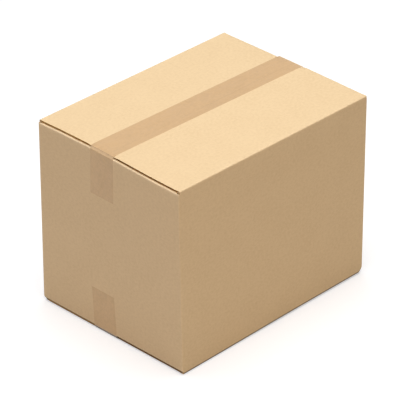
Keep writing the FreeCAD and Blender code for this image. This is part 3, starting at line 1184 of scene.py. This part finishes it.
@dataclass(frozen=True)
class KraftFinish:
    """Plain brown liner, matt.

    Attributes:
        color: The liner's colour.
        deep_color: The colour of its darker clouds and fibres.
        rubbed_highlight_color: Its colour where a fold has been rubbed, also a painted highlight along
            the fold's ridge.
        contact_shade_color: Its colour at the walls' feet, painted shade for the shadow under the bottom
            folds.
        contact_shade_height: Full painted shade up to the first height and none above the second, in
            millimetres.
        contact_shade: The most painted shade.
        roughness: Its roughness, from the paper's hollows to its heights.
        paper: Strengths of the paper's clouds, fibres and specks.
        tones: The paper's tones, from lightest to darkest, between which the deep colour comes in.
        deep_share: The deep colour's share at those tones.
        rib_shade_share: What a rib takes from that share, a painted shade of the flutes' washboard.
        rib_height: A rib's relief beside the paper's.
        rub_hold: How much of the wear and painted highlight the paper's hollows and heights take.
        rub_relief: The paper's relief between those.
        rough_relief: The paper's relief between its two roughnesses.
        gloss: Its specular level.
        bump: Strength of the relief, and its height in metres.
    """

    color: Color = (0.782, 0.592, 0.358)
    deep_color: Color = (0.60, 0.42, 0.225)
    rubbed_highlight_color: Color = (0.97, 0.765, 0.50)
    contact_shade_color: Color = (0.13, 0.105, 0.075)
    contact_shade_height: Span = (2.4, 3.6)
    contact_shade: float = 0.9
    roughness: Span = (0.81, 0.91)
    paper: tuple[float, float, float] = (0.22, 0.5, 0.3)
    tones: Span = (1.25, 0.75)
    deep_share: Span = (-0.10, 0.34)
    rib_shade_share: float = -0.015
    rib_height: float = 3.0
    rub_hold: Span = (0.75, 1.0)
    rub_relief: Span = (0.5, 1.1)
    rough_relief: Span = (0.4, 1.2)
    gloss: float = 0.25
    bump: Span = (0.25, 0.00002)

    def material(self, effects: Effects) -> bpy.types.Material:
        """Make the material, which reads the sheet's own map."""
        material, canvas, shader = new_material("kraft_liner")
        place = canvas.add("ShaderNodeUVMap", uv_map="sheet").outputs[0]
        paper = effects.paper_node(canvas, place, self.paper)
        ribs = canvas.add("ShaderNodeGroup", {"Place": place, "Pitch": FLUTE_PITCH},
                          node_tree=effects.ribs)
        share = canvas.between(paper.outputs["Tone"], *self.tones, *self.deep_share)
        # Painted shade: the liner lightens a little along each flute's rib.
        rib_shade = canvas.math("MULTIPLY", ribs.outputs["Rib"], self.rib_shade_share)
        share = canvas.math("ADD", share, rib_shade)
        liner = canvas.mix(share, self.color, self.deep_color)
        # Wear along the folds, also a painted highlight on their ridges: the liner lightens towards the
        # rubbed colour.
        wear_and_highlight = canvas.add("ShaderNodeAttribute", attribute_name="wear_and_highlight").outputs["Fac"]
        held = canvas.between(paper.outputs["Height"], *self.rub_relief, *self.rub_hold)
        rubbed = canvas.math("MULTIPLY", wear_and_highlight, held)
        liner = canvas.mix(rubbed, liner, self.rubbed_highlight_color)
        # Painted shade: the liner darkens towards its bottom fold, standing in for the contact shadow
        # under the box's edges.
        above = canvas.add("ShaderNodeAttribute", attribute_name="above_fold").outputs["Fac"]
        contact_shade = canvas.between(above, *self.contact_shade_height, self.contact_shade, 0.0)
        canvas.feed(shader.inputs["Base Color"], canvas.mix(contact_shade, liner, self.contact_shade_color))
        rough = canvas.between(paper.outputs["Height"], *self.rough_relief, *self.roughness)
        canvas.feed(shader.inputs["Roughness"], rough)
        shader.inputs["Specular IOR Level"].default_value = self.gloss
        height = canvas.math("MULTIPLY_ADD", ribs.outputs["Rib"], self.rib_height,
                             paper.outputs["Height"])
        canvas.feed(shader.inputs["Normal"], canvas.bump(height, *self.bump))
        return material


@dataclass(frozen=True)
class EdgeFinish:
    """Cut edges of the board: the two liners' paper, an open flute, or the wave between the liners.

    Attributes:
        name: The material's name.
        color: Colour of the paper.
        dark: The paper's darker tone; on the wave also painted shade in the flutes' hollows.
        wavy: Whether the flutes are cut across, which shows their wave.
        paper: Strengths of the paper's clouds, fibres and specks.
        wave_paper: Half the thickness of the wave's paper, in millimetres.
        wave_edge: Distances from the wave's middle between which the painted shade of the hollows
            begins, in metres.
        tones: The paper's tones, from lightest to darkest, between which the dark colour comes in.
        wave_tone: How much of that the wave's own paper takes.
        roughness: The paper's roughness.
        gloss: Its specular level.
        bump: Strength of the relief, and its height in metres.
    """

    name: str
    color: Color
    dark: Color
    wavy: bool = False
    paper: tuple[float, float, float] = (0.4, 1.2, 0.6)
    wave_paper: float = 0.15
    wave_edge: Span = (0.0002, 0.0006)
    tones: Span = (1.3, 0.7)
    wave_tone: float = 0.3
    roughness: float = 0.95
    gloss: float = 0.1
    bump: Span = (0.5, 0.0001)

    def material(self, effects: Effects) -> bpy.types.Material:
        """Make the material, which reads the sheet's own map."""
        material, canvas, shader = new_material(self.name)
        place = canvas.add("ShaderNodeUVMap", uv_map="sheet").outputs[0]
        paper = effects.paper_node(canvas, place, self.paper)
        share = canvas.between(paper.outputs["Tone"], *self.tones)
        if self.wavy:
            parts = canvas.add("ShaderNodeSeparateXYZ", {"Vector": place})
            turns = canvas.math("MULTIPLY", parts.outputs[0], 2 * math.pi / FLUTE_PITCH)
            half = 0.5 * SIZES.board
            swing = half - SIZES.liner - self.wave_paper
            middle = canvas.math("MULTIPLY_ADD", canvas.math("SINE", turns), swing * MM, half * MM)
            away = canvas.math("ABSOLUTE", canvas.math("SUBTRACT", parts.outputs[1], middle))
            # Painted shade: away from the wave's paper the flat edge takes the dark colour of the
            # flutes' hollows.
            beside = canvas.between(away, *self.wave_edge)
            share = canvas.math("MULTIPLY_ADD", share, self.wave_tone, beside, clamp=True)
        canvas.feed(shader.inputs["Base Color"], canvas.mix(share, self.color, self.dark))
        shader.inputs["Roughness"].default_value = self.roughness
        shader.inputs["Specular IOR Level"].default_value = self.gloss
        canvas.feed(shader.inputs["Normal"], canvas.bump(paper.outputs["Height"], *self.bump))
        return material


@dataclass(frozen=True)
class TapeFinish:
    """Buff packing film, satin, with the board's tone showing through.

    Spans are in millimetres.

    Attributes:
        color: The film's colour on the flaps.
        tail_reflection_color: Its colour on the tails, lighter as a painted reflection of the bright
            surroundings.
        bend_highlight_color: Its colour over the ends' top folds, lighter as a painted highlight where
            it bends.
        contact_shade_color: Its colour where the tails meet the ground, painted shade for the contact
            shadow there.
        seam_shade_and_tone_color: Its colour where it spans the seam, a painted shade of the gap, and
            the board's darker tone showing through.
        level_span: Heights below the outer flaps' faces between which the tails' painted reflection
            gives way.
        seam_span: Distances from the seam between which it stops showing.
        bend_span: Heights below the top between which the painted highlight over the folds comes in.
        bend_end: Heights below the top between which it goes again.
        contact_shade_height: Full painted shade up to the first height and none above the second.
        contact_shade: The most painted shade.
        past_span: Distances in from the near flaps' ends between which that painted shade comes in.
        roughness: The film's roughness, from its wrinkles' hollows to their heights.
        paper: Strengths of the clouds, fibres and specks that show through.
        tones: The paper's tones, from lightest to darkest, between which the seam's colour comes in.
        deep_share: The share of that colour at those tones.
        patches: Scale of the patches in which the seam shows, per metre.
        patch_span: Values of their noise between which it comes in.
        seam_share: How strong it shows at those.
        wrinkles: Scale of the film's wrinkles across the strip, per metre.
        wrinkle_span: Values of their noise between its two roughnesses.
        smear: Their scale along the strip, as a share of that across it.
        paper_height: The paper's relief beside the wrinkles'.
        bump: Strength of the relief, and its height in metres.
    """

    color: Color = (0.565, 0.365, 0.180)
    tail_reflection_color: Color = (0.675, 0.458, 0.232)
    bend_highlight_color: Color = (0.76, 0.54, 0.31)
    contact_shade_color: Color = (0.13, 0.105, 0.075)
    seam_shade_and_tone_color: Color = (0.36, 0.23, 0.115)
    level_span: Span = (5.0, 3.0)
    seam_span: Span = (0.4, 1.3)
    bend_span: Span = (6.5, 4.5)
    bend_end: Span = (1.6, 0.7)
    contact_shade_height: Span = (3.4, 5.8)
    contact_shade: float = 0.85
    past_span: Span = (6.0, 4.5)
    roughness: Span = (0.32, 0.46)
    paper: tuple[float, float, float] = (0.6, 0.5, 0.2)
    tones: Span = (1.25, 0.75)
    deep_share: Span = (-0.08, 0.25)
    patches: float = 9.0
    patch_span: Span = (0.3, 0.6)
    seam_share: Span = (0.05, 0.18)
    wrinkles: float = 160.0
    wrinkle_span: Span = (0.3, 0.7)
    smear: float = 0.2
    paper_height: float = 0.25
    bump: Span = (0.3, 0.0002)

    def material(self, effects: Effects) -> bpy.types.Material:
        """Make the material, which reads the box's own coordinates."""
        material, canvas, shader = new_material("packing_film")
        place = canvas.add("ShaderNodeTexCoord").outputs["Object"]
        paper = effects.paper_node(canvas, place, self.paper)
        share = canvas.between(paper.outputs["Tone"], *self.tones, *self.deep_share)
        along, across, height = canvas.add("ShaderNodeSeparateXYZ", {"Vector": place}).outputs
        level = canvas.outside(height, SIZES.mid_height * MM,
                               *((SIZES.half_height - below) * MM for below in self.level_span))
        near_seam = canvas.between(canvas.math("ABSOLUTE", across),
                                   *(away * MM for away in self.seam_span), 1.0, 0.0)
        patches = canvas.between(canvas.noise(place, self.patches, 1.0), *self.patch_span,
                                 *self.seam_share)
        # Painted shade: in patches the film darkens over the seam, standing in for the shade in the gap
        # below it.
        gap = canvas.math("MULTIPLY", canvas.math("MULTIPLY", near_seam, level), patches)
        top = SIZES.mid_height + SIZES.half_height
        # Painted highlight: the film lightens where it bends over the ends' top folds.
        bend = canvas.math(
            "MULTIPLY", canvas.between(height, *((top - below) * MM for below in self.bend_span)),
            canvas.between(height, *((top - below) * MM for below in self.bend_end), 1.0, 0.0))
        # Painted shade: the tails darken towards the ground, standing in for the contact shadow under
        # the box.
        past_flaps = canvas.between(canvas.math("ABSOLUTE", along),
                                    *((SIZES.near_end - short) * MM for short in self.past_span))
        low = canvas.between(height, *(up * MM for up in self.contact_shade_height), self.contact_shade, 0.0)
        contact_shade = canvas.math("MULTIPLY", past_flaps, low)
        # Painted reflection: the upright tails take a lighter colour than the film on the flaps.
        film = canvas.mix(bend, canvas.mix(level, self.tail_reflection_color, self.color), self.bend_highlight_color)
        film = canvas.mix(canvas.math("ADD", gap, share), film, self.seam_shade_and_tone_color)
        canvas.feed(shader.inputs["Base Color"], canvas.mix(contact_shade, film, self.contact_shade_color))
        smear = canvas.add("ShaderNodeMapping", {"Vector": place, "Scale": (self.smear, 1.0, 1.0)})
        wrinkle = canvas.noise(smear.outputs[0], self.wrinkles, 3.0, 0.55)
        rough = canvas.between(wrinkle, *self.wrinkle_span, *self.roughness)
        canvas.feed(shader.inputs["Roughness"], rough)
        relief = canvas.math("MULTIPLY_ADD", paper.outputs["Height"], self.paper_height, wrinkle)
        canvas.feed(shader.inputs["Normal"], canvas.bump(relief, *self.bump))
        return material


@dataclass(frozen=True)
class GlueFinish:
    """Dried carton glue, off-white, with a soft skin.

    Attributes:
        color: The glue's colour.
        deep_color: Its colour where it lies thin.
        beads: Scale of its beads, per metre.
        color_span: Values of their noise between the two colours.
        rough_span: Values of their noise between the two roughnesses.
        roughness: Its roughness, from thick to thin.
        bump: Strength of the relief, and its height in metres.
    """

    color: Color = (0.80, 0.76, 0.66)
    deep_color: Color = (0.66, 0.58, 0.44)
    beads: float = 120.0
    color_span: Span = (0.35, 0.65)
    rough_span: Span = (0.3, 0.7)
    roughness: Span = (0.45, 0.65)
    bump: Span = (0.4, 0.0002)

    def material(self) -> bpy.types.Material:
        """Make the material, which reads the box's own coordinates."""
        material, canvas, shader = new_material("dried_glue")
        place = canvas.add("ShaderNodeTexCoord").outputs["Object"]
        bead = canvas.noise(place, self.beads, 3.0, 0.6)
        shade = canvas.between(bead, *self.color_span)
        canvas.feed(shader.inputs["Base Color"], canvas.mix(shade, self.color, self.deep_color))
        rough = canvas.between(bead, *self.rough_span, *self.roughness)
        canvas.feed(shader.inputs["Roughness"], rough)
        canvas.feed(shader.inputs["Normal"], canvas.bump(bead, *self.bump))
        return material


@dataclass(frozen=True)
class Lamp:
    """A square lamp that looks at the box.

    Attributes:
        name: The lamp's name.
        place: Where it hangs, in metres.
        size: Its side, in metres.
        energy: Its power, in watts.
        color: Its light's colour.
    """

    name: str
    place: Place
    size: float
    energy: float
    color: Color = (1.0, 1.0, 1.0)

    def hang(self, target: Place) -> None:
        """Hang the lamp and turn it to a point."""
        data = bpy.data.lights.new(self.name, "AREA")
        data.shape, data.size = "SQUARE", self.size
        data.energy, data.color = self.energy, self.color
        made = place_object(self.name, data)
        made.location = self.place
        made.rotation_euler = (Vector(target) - Vector(self.place)).to_track_quat("-Z", "Y").to_euler()


LAMPS = (
    Lamp("ceiling", (0.0, 0.0, 2.8), 2.6, 85.0),
    Lamp("left_fill", (-2.8, -0.5, 1.2), 1.8, 14.4, (1.0, 0.82, 0.80)),
    Lamp("right_fill", (-0.5, -2.8, 1.2), 1.8, 14.3, (1.0, 0.70, 0.41)),
)


@dataclass
class Studio:
    """A pale floor, soft light and the camera.

    Attributes:
        azimuth: Camera's direction round the box, in radians.
        elevation: Its height angle, in radians.
        roll: Its roll, in radians.
        distance: From the aim to the camera, in metres.
        focal: Focal length in pixels of the 400-pixel picture.
        aim: Point on the ground that the middle of the picture shows, in metres.
        half_pixel: From a pixel's corner, where the picture's middle lies, to the pixel's middle.
        sensor: The camera's sensor width, in millimetres.
        sight: How far the camera sees, in metres.
        lamps: The lamps.
        target: The point that they look at, in metres.
        floor_edge: Half the floor's side, in metres.
        floor_drop: How far the floor lies below the ground, in metres.
        floor_color: The floor's colour.
        glow_color: Colour of the light that makes it white where it is seen.
        glow: Strength of that light.
        surroundings: Brightness of the surroundings' light.
    """

    azimuth: float = -0.786783
    elevation: float = 0.541599
    roll: float = 0.004449
    distance: float = 4.411812
    focal: float = 2676.427
    aim: Place = (0.179863, 0.186595, 0.0)
    half_pixel: float = 0.5
    sensor: float = 36.0
    sight: float = 50.0
    lamps: tuple[Lamp, ...] = LAMPS
    target: Place = (0.0, 0.0, 0.16)
    floor_edge: float = 8.0
    floor_drop: float = 0.0001
    floor_color: Color = (0.69, 0.69, 0.69)
    glow_color: Color = (0.95, 0.97, 1.0)
    glow: float = 0.465
    surroundings: float = 0.09

    def camera(self) -> None:
        """Place the camera so that the box lies in the picture as it does in the photograph."""
        back = Vector((math.sin(self.azimuth) * math.cos(self.elevation),
                       -math.cos(self.azimuth) * math.cos(self.elevation), math.sin(self.elevation)))
        eye = Vector(self.aim) + back * self.distance
        level = (-back).cross(Vector((0, 0, 1))).normalized()
        right = Matrix.Rotation(self.roll, 3, -back) @ level
        up = right.cross(-back)
        nudge = self.half_pixel / self.focal * self.distance
        look = (Vector(self.aim) - right * nudge + up * nudge - eye).normalized()
        side = look.cross(up).normalized()
        data = bpy.data.cameras.new("photo_camera")
        data.sensor_width = self.sensor
        data.lens = self.focal * self.sensor / IMAGE_SIZE
        data.clip_end = self.sight
        made = place_object("photo_camera", data)
        turn = Matrix((side, side.cross(look), -look)).transposed()
        made.matrix_world = Matrix.Translation(eye) @ turn.to_4x4()
        bpy.context.scene.camera = made

    def floor(self) -> None:
        """Lay the floor, which shows white to the camera and keeps the box's shadow."""
        mesh = bpy.data.meshes.new("floor")
        corners = [(-1, -1), (1, -1), (1, 1), (-1, 1)]
        mesh.from_pydata([(x * self.floor_edge, y * self.floor_edge, -self.floor_drop)
                          for x, y in corners], [], [(0, 1, 2, 3)])
        made = place_object("floor", mesh)
        material, canvas, shader = new_material("pale_floor")
        canvas.feed(shader.inputs["Base Color"], self.floor_color)
        shader.inputs["Roughness"].default_value = 1.0
        shader.inputs["Specular IOR Level"].default_value = 0.0
        strength = canvas.math("MULTIPLY", canvas.shown_rays(), self.glow)
        glow = canvas.add("ShaderNodeEmission", {"Color": self.glow_color, "Strength": strength})
        both = canvas.add("ShaderNodeAddShader", {0: shader.outputs[0], 1: glow.outputs[0]})
        output = material.node_tree.nodes["Material Output"]
        canvas.feed(output.inputs["Surface"], both.outputs[0])
        mesh.materials.append(material)

    def world(self) -> None:
        """Make the surroundings: soft light, and white where they are seen or mirrored."""
        world = bpy.data.worlds.new("surroundings")
        world.use_nodes = True
        canvas = NodeCanvas(world.node_tree)
        back = world.node_tree.nodes["Background"]
        back.inputs["Color"].default_value = (1, 1, 1, 1)
        canvas.feed(back.inputs["Strength"], canvas.math(
            "MULTIPLY_ADD", canvas.shown_rays(), 1.0 - self.surroundings, self.surroundings))
        bpy.context.scene.world = world

    def build(self) -> None:
        """Set up the floor, the light and the camera."""
        self.floor()
        self.world()
        for lamp in self.lamps:
            lamp.hang(self.target)
        self.camera()
        bpy.context.scene.view_settings.view_transform = "Standard"


@dataclass
class ClosedBox:
    """The whole box: carton, tape and glue, each with its finish.

    Attributes:
        carton: The folded board.
        top: The strip over the top seam.
        bottom: The strip under the bottom seam.
    """

    carton: Carton = field(default_factory=Carton)
    top: TapeStrip = field(default_factory=lambda: TapeStrip(
        "top_tape_strip", "top_tape", 1, TOP_SEAM, (81.5, 76.0), lean=1.6))
    bottom: TapeStrip = field(default_factory=lambda: TapeStrip(
        "bottom_tape_strip", "bottom_tape", -1, BOTTOM_SEAM, (73.0, 73.0), lean=4.5))

    def build(self) -> list[bpy.types.Object]:
        """Build and dress every piece.

        Returns:
            The box's pieces.
        """
        effects = Effects(PaperPattern().group(), flute_group())
        board = self.carton.build()
        finishes = (
            KraftFinish(),
            EdgeFinish("paper_edge", (0.74, 0.55, 0.33), (0.55, 0.38, 0.21)),
            # The open flute's colours are darkened as painted shade deep in the flutes, beyond the
            # modelled recess.
            EdgeFinish("open_flute_shade", (0.56, 0.33, 0.09), (0.44, 0.25, 0.06)),
            EdgeFinish("flute_wave", (0.60, 0.43, 0.25), (0.07, 0.04, 0.018), wavy=True),
        )
        for finish in finishes:
            board.data.materials.append(finish.material(effects))
        film = TapeFinish().material(effects)
        strips = [self.top.build(), self.bottom.build()]
        for strip in strips:
            strip.data.materials.append(film)
        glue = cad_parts["joint_glue"]
        dried = GlueFinish().material()
        for used in glue.material_slots:
            used.material = dried
        return [board, *strips, glue]


def report(pieces: list[bpy.types.Object]) -> None:
    """Log each piece's name and how many faces it has."""
    for piece in pieces:
        LOG.info("%s: %d faces", piece.name, len(piece.data.polygons))


def main() -> None:
    """Build the box in its studio."""
    logging.basicConfig(level=logging.INFO, format="%(message)s")
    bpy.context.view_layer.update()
    report(ClosedBox().build())
    Studio().build()


if __name__ == "__main__":
    main()
